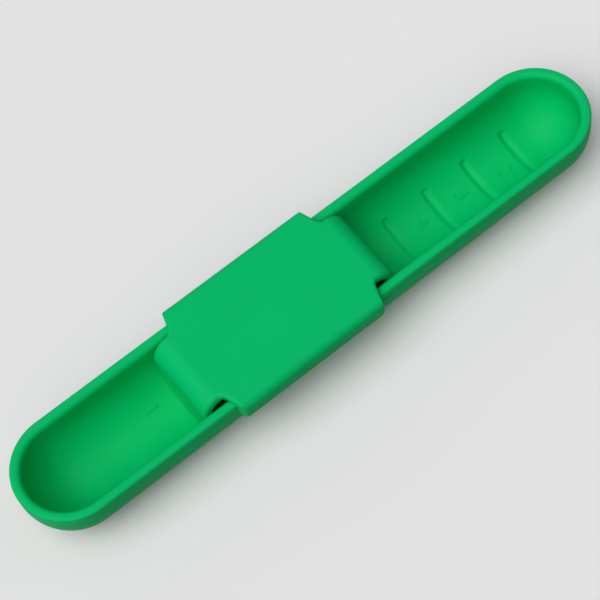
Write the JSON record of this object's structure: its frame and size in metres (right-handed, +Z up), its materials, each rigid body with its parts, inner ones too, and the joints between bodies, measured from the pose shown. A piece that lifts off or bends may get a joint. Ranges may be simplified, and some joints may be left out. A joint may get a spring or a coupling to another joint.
{
  "type": "adjustable measuring spoon",
  "caption": "Half-pipe measuring spoon with a bowl at each end and a sliding saddle whose dams set how much each bowl holds.",
  "frame": {"origin": "under the middle of the trough, on the plane of its flat foot", "axes": "+X along the trough towards the bowl with the scale marks, +Y across it, +Z up"},
  "size_m": [0.205, 0.0406, 0.0235],
  "materials": {
    "trough_plastic": "satin moulded plastic",
    "saddle_plastic": "satin moulded plastic"
  },
  "bodies": {
    "trough": {"spoon_trough": "trough_plastic"},
    "saddle": {"measuring_saddle": "saddle_plastic"}
  },
  "joints": [
    {"name": "saddle_slide", "type": "slide", "parent": "trough", "child": "saddle", "axis": [1, 0, 0], "range_m": [-0.0341, 0.0599]}
  ]
}
